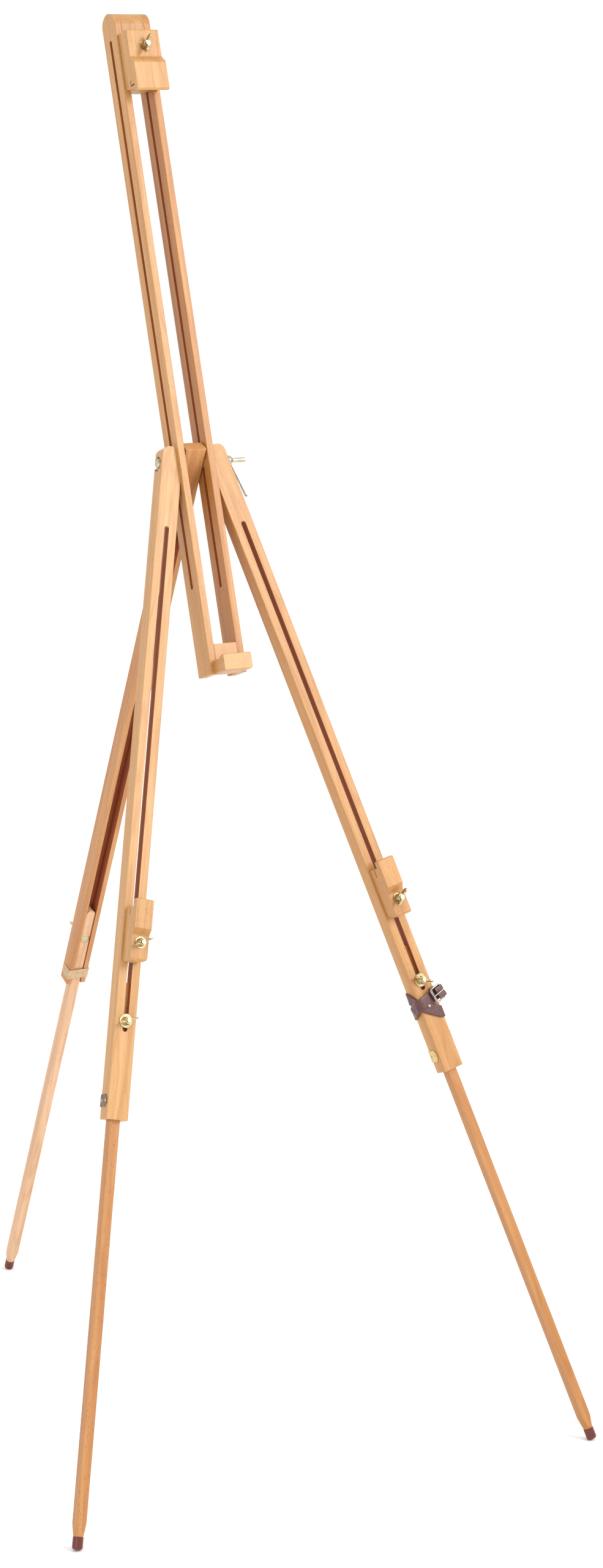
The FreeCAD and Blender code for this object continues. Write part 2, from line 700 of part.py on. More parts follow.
def strap_parts():
    """The strap and its buckle, in the left leg's frame."""
    return {
        "strap": strap(),
        "buckle_frame": buckle_frame(),
        "buckle_roller": buckle_roller(),
        "buckle_prong": buckle_prong(),
        "strap_rivet": strap_rivet(),
    }


def write_all():
    """Place every sub-part and write one STEP file for each."""
    os.makedirs("parts", exist_ok=True)
    shapes = {name: placed(shape, mast_frame) for name, shape in mast_parts().items()}
    for name, shape in rear_leg_parts().items():
        shapes[name] = placed(shape, rear_frame)
    for name, shape in front_leg_parts("left", left_support_bolt, 28.0, 33.0).items():
        shapes[name] = placed(shape, leg_frame)
    for name, shape in front_leg_parts("right", right_support_bolt, 40.0, 145.0).items():
        shapes[name] = mirrored(placed(shape, leg_frame))
    for name, shape in strap_parts().items():
        shapes[name] = mirrored(placed(shape, leg_frame))
    for name, shape in shapes.items():
        shape.exportStep("parts/" + name + ".step")


write_all()
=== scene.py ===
# A folding field easel in oiled beech: a slotted mast, three telescopic legs, brass-plated wing nuts, a lever
# nut at the pivot and a leather strap on the right leg. Lengths are in metres.
import json
import math

import bpy
import numpy as np
from mathutils import Matrix, Vector


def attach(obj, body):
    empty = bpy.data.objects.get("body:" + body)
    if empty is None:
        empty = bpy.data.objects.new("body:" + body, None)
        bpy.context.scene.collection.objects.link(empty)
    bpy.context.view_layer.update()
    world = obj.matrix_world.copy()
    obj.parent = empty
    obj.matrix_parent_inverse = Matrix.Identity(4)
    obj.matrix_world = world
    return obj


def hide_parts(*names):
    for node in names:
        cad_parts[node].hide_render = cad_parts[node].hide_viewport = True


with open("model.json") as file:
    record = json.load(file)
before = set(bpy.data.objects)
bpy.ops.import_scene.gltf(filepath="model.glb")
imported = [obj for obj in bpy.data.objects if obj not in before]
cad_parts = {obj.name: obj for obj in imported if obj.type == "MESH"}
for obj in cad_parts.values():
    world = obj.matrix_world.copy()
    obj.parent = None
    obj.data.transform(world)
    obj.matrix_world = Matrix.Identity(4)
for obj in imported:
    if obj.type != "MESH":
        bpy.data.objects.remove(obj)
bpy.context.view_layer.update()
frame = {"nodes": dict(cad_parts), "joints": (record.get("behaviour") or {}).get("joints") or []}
MM = 0.001
joints = {j["name"]: j for j in frame["joints"]}


# ---- members: the axes of each leg and of the mast, read from the joints ----
def unit(v):
    """The vector at length one."""
    v = np.array(v, float)
    return v / np.linalg.norm(v)


def member(origin, up, back):
    """A member's place: (origin, 3x3 whose rows are its across, back and up directions)."""
    z = unit(up)
    y = unit(np.array(back) - z * np.dot(back, z))
    return np.array(origin, float), np.array([np.cross(y, z), y, z])


pivot = joints["mast_tilt"]["pos_m"]
mast_back = np.array(joints["right_leg_splay"]["axis"])
mast = member(pivot, joints["mast_height"]["axis"], mast_back)
left_leg = member(joints["left_leg_splay"]["pos_m"], joints["left_leg_length"]["axis"], mast_back)
right_leg = member(joints["right_leg_splay"]["pos_m"], joints["right_leg_length"]["axis"], mast_back)
rear_leg = member(pivot, joints["rear_leg_length"]["axis"], joints["rear_wing_nut_turn"]["axis"])


def to_world(place, local):
    """Local points, in millimetres along a member's three directions, as points in the easel's frame."""
    origin, axes = place
    return origin + np.asarray(local, float) * MM @ axes


def node_points(name):
    """The corners of a CAD node's mesh, one row each."""
    mesh = frame["nodes"][name].data
    flat = np.zeros(len(mesh.vertices) * 3)
    mesh.vertices.foreach_get("co", flat)
    return flat.reshape(-1, 3)


def turning_place(cad, joint):
    """Place of a part that turns: its axis is z, its seat is z = 0, and its farthest arm points along x."""
    j = joints[joint]
    axis = unit(j["axis"])
    points = node_points(cad) - np.array(j["pos_m"])
    along = points @ axis
    radial = points - np.outer(along, axis)
    far = radial[np.argmax(np.linalg.norm(radial, axis=1))]
    x = unit(far)
    return np.array(j["pos_m"]) + axis * along.min(), np.array([x, np.cross(axis, x), axis])


# ---- surfaces ----
def rounded_profile(points, radius, steps=6):
    """A closed outline with its corners rounded.

    Each corner becomes a quadratic curve from one side to the next: (1-t)^2 start + 2t(1-t) corner + t^2 end,
    where start and end lie one radius from the corner.
    """
    p = np.array(points, float)
    before = np.roll(p, 1, 0) - p
    after = np.roll(p, -1, 0) - p
    room_before = np.minimum(radius, np.linalg.norm(before, axis=1) * 0.45)[:, None]
    room_after = np.minimum(radius, np.linalg.norm(after, axis=1) * 0.45)[:, None]
    start = p + before / np.linalg.norm(before, axis=1)[:, None] * room_before
    end = p + after / np.linalg.norm(after, axis=1)[:, None] * room_after
    t = np.linspace(0, 1, steps)[None, :, None]
    curve = (1 - t) ** 2 * start[:, None] + 2 * t * (1 - t) * p[:, None] + t ** 2 * end[:, None]
    return curve.reshape(-1, 2)


def superellipse(half_width, half_height, power, count):
    """Closed outline |x/a|^p + |y/b|^p = 1, from x = a sgn(cos)|cos|^(2/p), y = b sgn(sin)|sin|^(2/p)."""
    angle = np.linspace(0, 2 * np.pi, count, endpoint=False)
    c, s = np.cos(angle), np.sin(angle)
    return np.stack([half_width * np.sign(c) * np.abs(c) ** (2 / power),
                     half_height * np.sign(s) * np.abs(s) ** (2 / power)], 1)


def lathe(profile, turns=40):
    """A profile of (radius, height) carried round z: (r cos a, r sin a, h)."""
    p = np.asarray(profile, float)
    a = np.linspace(0, 2 * np.pi, turns, endpoint=False)[None, :]
    r, h = p[:, 0][:, None], p[:, 1][:, None]
    return np.stack([r * np.cos(a), r * np.sin(a), h + 0 * a], 2)


def sweep(path, side, front, section):
    """A section (u, v) carried along a path: path + u side + v front, at every point of the path."""
    section = np.broadcast_to(section, (len(path),) + np.shape(section)[-2:])
    return path[:, None] + section[..., :1] * side[:, None] + section[..., 1:] * front[:, None]


def shell(grid, cyclic=False):
    """A grid of rings as (corners, faces): closed round each ring, and joined end to end or capped."""
    rows, cols = grid.shape[:2]
    number = np.arange(rows * cols).reshape(rows, cols)
    below = number if cyclic else number[:-1]
    above = np.roll(number, -1, 0) if cyclic else number[1:]
    quads = np.stack([below, np.roll(below, -1, 1), np.roll(above, -1, 1), above], 2).reshape(-1, 4)
    faces = quads.tolist()
    if not cyclic:
        faces += [number[0][::-1].tolist(), number[-1].tolist()]
    corners = grid.reshape(-1, 3)
    a, b, c, d = (corners[quads[:, k]] for k in range(4))
    middle = corners.mean(0)
    volume = np.einsum("ij,ij->i", (a + b + c + d) / 4 - middle, np.cross(c - a, d - b)).sum()
    return corners, faces if volume > 0 else [f[::-1] for f in faces]


def piece(name, shells, place, body, finish, replaces=()):
    """Closed shells, in millimetres in a place's directions, as one object that rides on a body."""
    corners, faces, count = [], [], 0
    for points, polygons in shells:
        corners.append(points)
        faces += [[i + count for i in f] for f in polygons]
        count += len(points)
    mesh = bpy.data.meshes.new(name)
    mesh.from_pydata(to_world(place, np.concatenate(corners)), [], faces)
    mesh.shade_smooth()
    mesh.set_sharp_from_angle(angle=math.radians(40))
    mesh.materials.append(finish)
    made = bpy.data.objects.new(name, mesh)
    bpy.context.scene.collection.objects.link(made)
    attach(made, body)
    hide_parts(*replaces)


# ---- materials ----
def linear(hex_colour):
    """An sRGB colour such as "#E4C495" as linear red, green, blue and alpha."""
    parts = [int(hex_colour[i:i + 2], 16) / 255 for i in (1, 3, 5)]
    return tuple(c / 12.92 if c <= 0.04045 else ((c + 0.055) / 1.055) ** 2.4 for c in parts) + (1.0,)


def node(tree, kind, inputs=None, **settings):
    """Adds a node with its settings; an input that is a socket is linked, and any other is set."""
    made = tree.nodes.new("ShaderNode" + kind)
    for key, value in settings.items():
        setattr(made, key, value)
    for key, value in (inputs or {}).items():
        if isinstance(value, bpy.types.NodeSocket):
            tree.links.new(value, made.inputs[key])
        else:
            made.inputs[key].default_value = value
    return made


def material(name, values):
    """A new material with its tree and its shader, whose uniform values are set on its own sockets."""
    made = bpy.data.materials.new(name)
    made.use_nodes = True
    shader = made.node_tree.nodes["Principled BSDF"]
    for key, value in values.items():
        shader.inputs[key].default_value = value
    return made, made.node_tree, shader


def scaled(tree, vector, across, along):
    """A vector divided by a pattern's real size in millimetres, across and along the grain."""
    size = (1 / (across * MM), 1 / (across * MM), 1 / (along * MM))
    return node(tree, "Mapping", {"Vector": vector, "Scale": size}).outputs["Vector"]


def ramp(tree, value, low, high, start=0.0, end=1.0):
    """A value from low to high stretched to run from start to end."""
    return node(tree, "MapRange", {"Value": value, "From Min": low, "From Max": high, "To Min": start,
                                   "To Max": end}).outputs["Result"]


def blend_colour(tree, factor, first, second, mode="MIX"):
    """Two colours mixed by a factor."""
    return node(tree, "Mix", {0: factor, 6: first, 7: second}, data_type="RGBA", blend_type=mode).outputs[2]


def noise(tree, vector, across, along, detail, **inputs):
    """Noise whose grains have a real size in millimetres, across and along the grain."""
    return node(tree, "TexNoise", {"Vector": scaled(tree, vector, across, along), "Scale": 1.0, "Detail": detail,
                                   **inputs}).outputs["Fac"]


def surface(tree, shader, colour, rough, height, strength, depth):
    """Joins a colour, a roughness and a bump, whose depth is in millimetres, to the shader."""
    bump = node(tree, "Bump", {"Height": height, "Strength": strength, "Distance": depth * MM})
    tree.links.new(colour, shader.inputs["Base Color"])
    tree.links.new(bump.outputs["Normal"], shader.inputs["Normal"])
    tree.links.new(rough, shader.inputs["Roughness"])


def hollow_mask(tree, vector, place, hollow, end_grain):
    """1 on the walls inside a member's slot or channel, and 0 on its outer faces and its ends."""
    origin, axes = place
    turned = Matrix(axes)
    local = node(tree, "Mapping", {"Vector": vector, "Rotation": turned.to_euler(),
                                   "Location": turned @ -Vector(origin)}).outputs["Vector"]
    across = node(tree, "SeparateXYZ", {"Vector": local})
    mask = node(tree, "Math", {0: 1.0, 1: end_grain}, operation="SUBTRACT").outputs[0]
    for axis, middle, half in (("X", hollow[0], hollow[1]), ("Y", hollow[2], hollow[3])):
        inside = node(tree, "Math", {0: across.outputs[axis], 1: middle * MM, 2: half * MM}, operation="COMPARE")
        mask = node(tree, "Math", {0: mask, 1: inside.outputs[0]}, operation="MULTIPLY").outputs[0]
    return mask


def beech(name, place, grain, pale, warm, fleck, offset, hollow=None):
    """Steamed beech, planed and finished with oil: even straw to pink-brown wood with short dark ray flecks.

    grain is the direction, in the member's own axes, that the fibres run along. offset moves the figure, so that
    no two members match. hollow is the part of the section, as (x, half width, y, half depth) in millimetres,
    whose walls are rougher and darkened with painted shade, for the shadow inside the slot or channel.
    """
    made, tree, shader = material(name, {"IOR": 1.5, "Coat Weight": 0.12, "Coat Roughness": 0.3})
    axes = place[1]
    along = unit(grain) @ axes
    helper = axes[0] if abs(np.dot(axes[0], along)) < 0.9 else axes[1]
    x = unit(np.cross(helper, along))
    turned = Matrix([x, np.cross(along, x), along])
    where = node(tree, "TexCoord")
    spot = node(tree, "Mapping", {"Vector": where.outputs["Object"], "Rotation": turned.to_euler(),
                                  "Location": offset}).outputs["Vector"]
    facing = node(tree, "Mapping", {"Vector": where.outputs["Normal"], "Rotation": turned.to_euler()},
                  vector_type="VECTOR").outputs["Vector"]
    across_x = node(tree, "SeparateXYZ", {"Vector": spot})
    end_on = node(tree, "Math", {0: node(tree, "SeparateXYZ", {"Vector": facing}).outputs["Z"]},
                  operation="ABSOLUTE").outputs[0]
    end_grain = ramp(tree, end_on, 0.7, 0.92)

    # broad figure of the board, 9 mm wide and drawn out along the grain
    figure = noise(tree, spot, 9, 260, 3.0, Roughness=0.55)
    # growth rings that wander along the board, by 34 radians from one side of the noise to the other
    ring_pitch, ring_wander = 2.6, 34.0
    wander = node(tree, "Math", {0: noise(tree, spot, 22, 190, 1.0), 1: ring_wander}, operation="MULTIPLY")
    lines = node(tree, "Math", {0: across_x.outputs["X"], 1: 2 * math.pi / (ring_pitch * MM),
                                2: wander.outputs[0]}, operation="MULTIPLY_ADD").outputs[0]
    ring = node(tree, "Math", {0: lines}, operation="SINE").outputs[0]
    # fibres 0.5 mm wide and 30 mm long
    fibre = noise(tree, spot, 0.5, 30, 2.0, Roughness=0.6)
    # ray flecks, one to a cell 2.1 mm wide and 7 mm long
    cells = node(tree, "TexVoronoi", {"Vector": scaled(tree, spot, 2.1, 7), "Scale": 1.0, "Randomness": 1.0})
    lot = node(tree, "SeparateColor", {"Color": cells.outputs["Color"]}).outputs["Red"]
    dash = node(tree, "Math", {0: ramp(tree, cells.outputs["Distance"], 0.1, 0.28, 1.0, 0.0),
                               1: ramp(tree, lot, 0.2, 0.9, 0.0, 0.8)}, operation="MULTIPLY").outputs[0]

    colour = blend_colour(tree, ramp(tree, figure, 0.32, 0.68), linear(pale), linear(warm))
    shade = blend_colour(tree, 1.0, colour, linear("#E3CDB4"), "MULTIPLY")
    colour = blend_colour(tree, ramp(tree, ring, 0.1, 1.0, 0.0, 0.42), colour, shade)
    colour = blend_colour(tree, ramp(tree, fibre, 0.35, 0.75, 0.0, 0.55), colour, shade)
    colour = blend_colour(tree, dash, colour, linear(fleck))
    # cut ends show no figure, but pores 0.6 mm apart
    pores = noise(tree, spot, 0.6, 6, 2.0)
    cut = blend_colour(tree, 0.65, colour, linear(pale))
    cut = blend_colour(tree, ramp(tree, pores, 0.45, 0.75, 0.0, 0.22), cut, linear(fleck))
    colour = blend_colour(tree, end_grain, colour, cut)
    rough = ramp(tree, fibre, 0.2, 0.8, 0.36, 0.5)
    # painted shade: the walls inside the slot or channel are multiplied by #D9A07C, darker and warmer, for the
    # shadow that falls there, and made rougher
    if hollow:
        hollow_walls = hollow_mask(tree, where.outputs["Object"], place, hollow, end_grain)
        painted_shade = blend_colour(tree, 1.0, colour, linear("#D9A07C"), "MULTIPLY")
        colour = blend_colour(tree, hollow_walls, colour, painted_shade)
        rough = node(tree, "Math", {0: hollow_walls, 1: 0.4, 2: rough}, operation="MULTIPLY_ADD").outputs[0]

    height = node(tree, "Math", {0: fibre, 1: dash}, operation="SUBTRACT").outputs[0]
    surface(tree, shader, colour, rough, height, 0.22, 0.15)
    return made


def plated_metal(name, base, tarnish, rough, grit):
    """Plated steel or brass: a bright skin over cast or pressed metal, with faint tarnish in patches."""
    made, tree, shader = material(name, {"Metallic": 1.0})
    spot = node(tree, "TexCoord").outputs["Object"]
    patch = noise(tree, spot, 7, 7, 4.0)
    fine = noise(tree, spot, grit, grit, 3.0)
    colour = blend_colour(tree, ramp(tree, patch, 0.4, 0.75), linear(base), linear(tarnish))
    surface(tree, shader, colour, ramp(tree, fine, 0.2, 0.8, rough * 0.75, rough * 1.3), fine, 0.12, 0.12)
    return made


def rolled_metal(name, place, base, dull, rough):
    """Rolled strip: fine lines 0.25 mm apart along the strip, and dull patches from handling."""
    made, tree, shader = material(name, {"Metallic": 1.0})
    spot = node(tree, "Mapping", {"Vector": node(tree, "TexCoord").outputs["Object"],
                                  "Rotation": Matrix(place[1]).to_euler()}).outputs["Vector"]
    line = noise(tree, spot, 18, 0.25, 2.0)
    patch = noise(tree, spot, 5, 5, 3.0)
    colour = blend_colour(tree, ramp(tree, patch, 0.4, 0.7), linear(base), linear(dull))
    surface(tree, shader, colour, ramp(tree, line, 0.2, 0.8, rough * 0.8, rough * 1.3), line, 0.15, 0.08)
    return made


def bridle_leather(name, face, edge):
    """Vegetable-tanned bridle leather: waxed, with a pebble of 0.7 mm and soft creases 6 mm apart."""
    made, tree, shader = material(name, {"IOR": 1.5, "Coat Weight": 0.2, "Coat Roughness": 0.35,
                                         "Sheen Weight": 0.06, "Sheen Tint": linear("#E8C8D8")})
    spot = node(tree, "TexCoord").outputs["Object"]
    pebble = node(tree, "TexVoronoi", {"Vector": scaled(tree, spot, 0.7, 0.7), "Scale": 1.0}).outputs["Distance"]
    crease = noise(tree, spot, 6, 6, 5.0, Distortion=0.8)
    colour = blend_colour(tree, ramp(tree, crease, 0.35, 0.7), linear(face), linear(edge))
    colour = blend_colour(tree, ramp(tree, pebble, 0.35, 0.8, 0.0, 0.45), colour, linear(edge))
    height = node(tree, "Math", {0: crease, 1: 0.5, 2: pebble}, operation="MULTIPLY_ADD").outputs[0]
    surface(tree, shader, colour, ramp(tree, crease, 0.3, 0.7, 0.34, 0.52), height, 0.35, 0.2)
    return made


def moulded_cap(name, base, worn):
    """Injection-moulded nylon, glossy from the mould, scuffed in specks 1.5 mm wide."""
    made, tree, shader = material(name, {"IOR": 1.5, "Coat Weight": 0.08, "Coat Roughness": 0.12})
    spot = node(tree, "TexCoord").outputs["Object"]
    scuff = noise(tree, spot, 1.5, 1.5, 5.0)
    colour = blend_colour(tree, ramp(tree, scuff, 0.55, 0.8), linear(base), linear(worn))
    surface(tree, shader, colour, ramp(tree, scuff, 0.3, 0.8, 0.22, 0.42), scuff, 0.1, 0.1)
    return made


def dress(name, finish):
    """Gives a CAD node its material."""
    mesh = frame["nodes"][name].data
    mesh.materials.clear()
    mesh.materials.append(finish)


ALONG, FORE = (0, 0, 1), (0, 1, 0)
woods = {
    "left_rail": beech("beech_left_rail", mast, ALONG, "#C89960", "#B9854C", "#814A21", (0.31, 0.0, 0.2),
                       (-21.5, 4.7, 0.0, 3.6)),
    # the right rail's colours are its wood's tone made a little darker and warmer with painted shade, for the
    # shadow on its inner face
    "right_rail": beech("beech_right_rail", mast, ALONG, "#C0894B", "#AE753A", "#74401C", (1.7, 0.4, 0.9),
                        (21.5, 4.7, 0.0, 3.6)),
    "mast_top_block": beech("beech_top_block", mast, ALONG, "#C69962", "#B78651", "#814A21", (2.2, 0.8, 0.1)),
    "mast_bottom_block": beech("beech_bottom_block", mast, FORE, "#CA9B62", "#BB8851", "#976233",
                               (0.9, 1.8, 0.4)),
    "clamp_head": beech("beech_clamp", mast, ALONG, "#CA9B61", "#BB874C", "#895426", (3.1, 0.2, 0.7)),
    "left_outer_leg": beech("beech_left_leg", left_leg, ALONG, "#CB9D66", "#BD8D54", "#8B572A",
                            (0.5, 2.6, 1.2), (-15.0, 7.7, -2.4, 10.7)),
    "right_outer_leg": beech("beech_right_leg", right_leg, ALONG, "#C6955A", "#B58046", "#814A21",
                             (4.4, 0.9, 2.2), (15.0, 7.7, -2.4, 10.7)),
    "rear_outer_leg": beech("beech_rear_leg", rear_leg, ALONG, "#C6915A", "#B47A44", "#74401C",
                            (5.2, 3.3, 0.3), (0.0, 7.7, 4.5, 10.7)),
    "left_inner_leg": beech("beech_left_lower", left_leg, ALONG, "#BE884E", "#AE753D", "#77421D",
                            (6.1, 0.6, 1.9)),
    "right_inner_leg": beech("beech_right_lower", right_leg, ALONG, "#BD864C", "#AC733A", "#77421D",
                             (7.3, 1.1, 0.8)),
    "rear_inner_leg": beech("beech_rear_lower", rear_leg, ALONG, "#DBB592", "#CC9F78", "#915B2E",
                            (8.8, 0.3, 1.4)),
    "left_canvas_support": beech("beech_left_support", left_leg, ALONG, "#C79860", "#B7844A", "#814A21",
                                 (9.4, 2.1, 0.6)),
    "right_canvas_support": beech("beech_right_support", right_leg, ALONG, "#C59257", "#B37D43", "#7F4821",
                                  (10.3, 1.3, 2.4)),
}
# brass plating on cast wing nuts: a pale gold that mirrors softly
nut_brass = plated_metal("brass_plated_zinc", "#D0C19A", "#8C7649", 0.2, 1.2)
# nickel plating on the lever nut and the buckle: a warm grey mirror
nickel = plated_metal("nickel_plated_steel", "#B9B5AB", "#857E71", 0.16, 1.0)
# yellow-passivated zinc on bolts and washers: a straw tint over grey
zinc = plated_metal("passivated_zinc_steel", "#CFC4A4", "#AFA27E", 0.26, 0.8)
dark_strip = rolled_metal("dull_rolled_steel", left_leg, "#8E7D70", "#6E6058", 0.42)
right_strip = rolled_metal("rolled_brass_right", right_leg, "#D6C08C", "#CBB27A", 0.26)
rear_strip = rolled_metal("rolled_brass_rear", rear_leg, "#CDB08E", "#C0A080", 0.36)
pin_brass = plated_metal("brass_pin", "#D6B673", "#A98B50", 0.28, 0.8)
brad_steel = plated_metal("steel_brad", "#8C8378", "#5E564D", 0.4, 0.6)
leather = bridle_leather("oxblood_bridle_leather", "#602F2D", "#45211F")
# painted shade: near-black leather for the discs that stand in for the punched holes, for the shadow inside them
hole_shadow = bridle_leather("painted_hole_shadow", "#2A1412", "#1C0D0C")
cap_nylon = moulded_cap("red_brown_nylon", "#601E14", "#702E22")

for name, wood in woods.items():
    dress(name, wood)
for side in ("left", "right", "rear"):
    dress(side + "_foot_cap", cap_nylon)
    dress(side + "_band_pins", pin_brass)
    dress(side + "_leg_bolt", zinc)
    dress(side + "_slide_washer", nut_brass)
for side in ("left", "right"):
    dress(side + "_support_bolt", zinc)
    dress(side + "_support_washer", nut_brass)
    dress(side + "_leg_washer", zinc)
for name in ("clamp_bolt", "clamp_cross_bar", "pivot_bolt", "rear_washer_left", "rear_washer_right",
             "lever_nut_washer"):
    dress(name, zinc)
for name, finish in (("clamp_washer", nut_brass), ("bolt_head_washer", nickel), ("strap_rivet", nickel),
                     ("left_leg_band", dark_strip), ("right_leg_band", right_strip),
                     ("rear_leg_band", rear_strip), ("mast_brads", brad_steel)):
    dress(name, finish)


# ---- wing nuts ----
nut_bore = 3.05


def ear(side):
    """One wing of a wing nut: a flat oval plate with soft edges, leaning outwards.

    Its outline is an ellipse turned to 45 degrees about its middle C. Over it, C + R(u) |cos v|^(1/2) in the
    plate's plane and t sgn(sin v)|sin v|^(1/2) across it, which is a rounded plate of half thickness t.
    """
    middle_x, middle_z, lean = 7.6, 7.8, math.radians(45)
    half_long, half_short, half_thick = 7.0, 4.6, 1.35
    u = np.linspace(0, 2 * np.pi, 36, endpoint=False)[None, :]
    v = np.linspace(-0.499 * np.pi, 0.499 * np.pi, 13)[:, None]
    long, short = half_long * np.cos(u), half_short * np.sin(u)
    reach = np.sqrt(np.abs(np.cos(v)))
    x = middle_x + (long * math.cos(lean) - short * math.sin(lean)) * reach
    z = middle_z + (long * math.sin(lean) + short * math.cos(lean)) * reach
    y = half_thick * np.sign(np.sin(v)) * np.sqrt(np.abs(np.sin(v))) + 0 * u
    return shell(np.stack([side * x, y, z], 2))


def wing_nut(name, cad, joint, body):
    """A cast wing nut: a bored, tapering hub turned about the bolt, and two ears."""
    hub = rounded_profile([(nut_bore, 0.0), (6.1, 0.0), (5.9, 2.2), (4.7, 8.4), (nut_bore, 8.6)], 0.9)
    shells = [shell(lathe(hub), cyclic=True), ear(1), ear(-1)]
    piece(name, shells, turning_place(cad, joint), body, nut_brass, [cad])


wing_nut("clamp_nut_cast", "clamp_wing_nut", "clamp_nut_turn", "clamp_nut")
wing_nut("rear_nut_cast", "rear_wing_nut", "rear_wing_nut_turn", "rear_leg_nut")
for side in ("left", "right"):
    wing_nut(side + "_nut_cast", side + "_wing_nut", side + "_wing_nut_turn", side + "_leg_nut")
    wing_nut(side + "_support_nut_cast", side + "_support_wing_nut", side + "_support_nut_turn",
             side + "_support_nut")


# ---- lever nut ----
def lever():
    """The lever nut: a ball on a short collar, and a long flat arm that springs from the ball.

    The ball is r = sqrt(6.6^2 - (h - 6.4)^2). The arm's section is a superellipse of power 4, carried along a
    straight line. Its half width grows from 2.0 to 2.5, and shrinks by sqrt(1 - q^2) over the last 2.5 mm.
    """
    ball_radius, ball_height, collar_radius = 6.6, 6.4, 5.6
    height = np.linspace(1.6, 12.2, 14)
    ball = np.stack([np.sqrt(ball_radius ** 2 - (height - ball_height) ** 2), height], 1)
    collar = [(nut_bore, 12.6), (nut_bore, 0.0), (collar_radius, 0.0), (collar_radius, 1.2)]
    boss = np.concatenate([collar, ball])
    root_x, root_z, length, rounding, lean = 4.0, 9.5, 53.5, 2.5, math.radians(20.4)
    t = np.linspace(0, 1, 41)
    path = np.stack([root_x + t * (length - 4.0) * math.cos(lean), 0 * t,
                     root_z + t * (length - 2.0) * math.sin(lean)], 1)
    end = np.clip((t * length - (length - rounding)) / rounding, 0, 0.995)
    shrink = np.sqrt(1 - end ** 2)
    width, thick = (2.0 + 0.5 * t) * shrink, (1.3 - 0.2 * t) * shrink
    section = superellipse(1.0, 1.0, 4, 32)[None] * np.stack([width, thick], 1)[:, None]
    along = np.tile(unit(path[-1] - path[0]), (len(path), 1))
    across = np.tile([0.0, 1.0, 0.0], (len(path), 1))
    arm = shell(sweep(path, across, np.cross(across, along), section))
    place = turning_place("lever_nut", "lever_turn")
    piece("lever_nut_cast", [shell(lathe(boss, 56), cyclic=True), arm], place, "lever", nickel,
          ["lever_nut"])


lever()


# ---- strap and buckle ----
# In the strap's own terms, x runs outwards across the leg's front from its inner edge, y to the back and z up.
# Its course is told by the distance round the leg from the outer front edge, over the front to the inner edge
# first: the edges come at 30, 52, 82 and 104 mm, and again a turn later.
leg_width, leg_deep, leg_front = 30.0, 22.0, -13.4
leg_girth = 2 * (leg_width + leg_deep)
strap_half_width, strap_half_thick = 8.0, 1.05
# strap_gap is the room between leather and leg, and strap_layer how far the outer turn lies over the inner one
strap_gap, strap_layer = 0.35, 2.3

roller_at = np.array(joints["roller_turn"]["pos_m"])
prong_at = np.array(joints["prong_turn"]["pos_m"])
buckle_up = unit(prong_at - roller_at)
buckle_place = ((roller_at + prong_at) / 2, np.array([np.cross(mast_back, buckle_up), mast_back, buckle_up]))
buckle_height = np.linalg.norm(prong_at - roller_at) / MM / 2
buckle_x, _, buckle_z = (buckle_place[0] - right_leg[0]) @ right_leg[1].T / MM
buckle_slope = (buckle_up @ right_leg[1].T)[2] / (buckle_up @ right_leg[1].T)[0]


def eased(values, window):
    """A running mean down the rows, with the ends held."""
    half = window // 2
    padded = np.concatenate([np.repeat(values[:1], half, 0), values, np.repeat(values[-1:], half, 0)])
    return np.stack([np.convolve(column, np.ones(window) / window, "valid") for column in padded.T], 1)


def round_leg(distance):
    """Points on the leg's surface and the directions out of it, at distances round it.

    The outline is a superellipse of power 14 about the leg's middle, so the leather bridges the edges.
    """
    half_x, half_y, power = leg_width / 2, leg_deep / 2, 14
    angle = -np.pi / 4 - np.linspace(0, 2 * np.pi, 6001)
    c, s = np.cos(angle), np.sin(angle)
    x = half_x * np.sign(c) * np.abs(c) ** (2 / power)
    y = half_y * np.sign(s) * np.abs(s) ** (2 / power)
    gone = np.concatenate([[0], np.cumsum(np.hypot(np.diff(x), np.diff(y)))])
    gone *= leg_girth / gone[-1]
    x = np.interp(distance % leg_girth, gone, x)
    y = np.interp(distance % leg_girth, gone, y)
    away = np.stack([(x / half_x) ** (power - 1) / half_x, (y / half_y) ** (power - 1) / half_y, 0 * x], 1)
    points = np.stack([x + half_x, y + leg_front + half_y, 0 * x], 1)
    return points, away / np.linalg.norm(away, axis=1)[:, None]


def strap_line():
    """The strap's middle line and the directions out of it, from its free end to its sewn end.

    It leaves the buckle, crosses the front and falls behind the leg, comes back up under itself from the outer
    edge, and climbs round the back again to the buckle. Rows: x, y, z, then the direction.
    """
    distance = np.linspace(-5.0, 2 * leg_girth + 8.0, 900)
    # (distance round the leg, height over the buckle's middle)
    corners = [(-5, (35 - buckle_x) * buckle_slope), (30, -buckle_x * buckle_slope), (52, -17.5), (104, -26.5),
               (134, -7.0), (156, 6.5), (208, 2.0), (216, 1.5)]
    points, away = round_leg(distance)
    points[:, 2] = buckle_z + np.interp(distance, *zip(*corners))
    points[:, 2:] = eased(points[:, 2:], 41)
    flat = distance < 15
    points[flat, 0], points[flat, 1] = leg_width - distance[flat], leg_front
    away[flat] = (0, -1, 0)
    lift = strap_layer * np.interp(distance, [44, 52], [1, 0])
    points += away * (strap_gap + strap_half_thick + lift)[:, None]
    return distance, eased(np.concatenate([points, away], 1), 9)


def ribbon(path, outward, half_width, half_thick, tip=0.0):
    """A leather ribbon along a path: a superellipse section of power 5 whose flat side faces outward.

    Over the first tip millimetres, the half width is w (1 - 0.55 q^2), which rounds the end.
    """
    along = np.gradient(path, axis=0)
    along /= np.linalg.norm(along, axis=1)[:, None]
    across = np.cross(along, outward)
    across /= np.linalg.norm(across, axis=1)[:, None]
    face = np.cross(across, along)
    gone = np.linalg.norm(path - path[0], axis=1)
    q = np.clip(1 - gone / max(tip, 1e-6), 0, 0.97)
    width = half_width * (1 - 0.55 * q ** 2)
    section = superellipse(1.0, 1.0, 5, 28)[None] * np.stack([width, np.full(len(path), half_thick)], 1)[:, None]
    return shell(sweep(path, across, face, section))


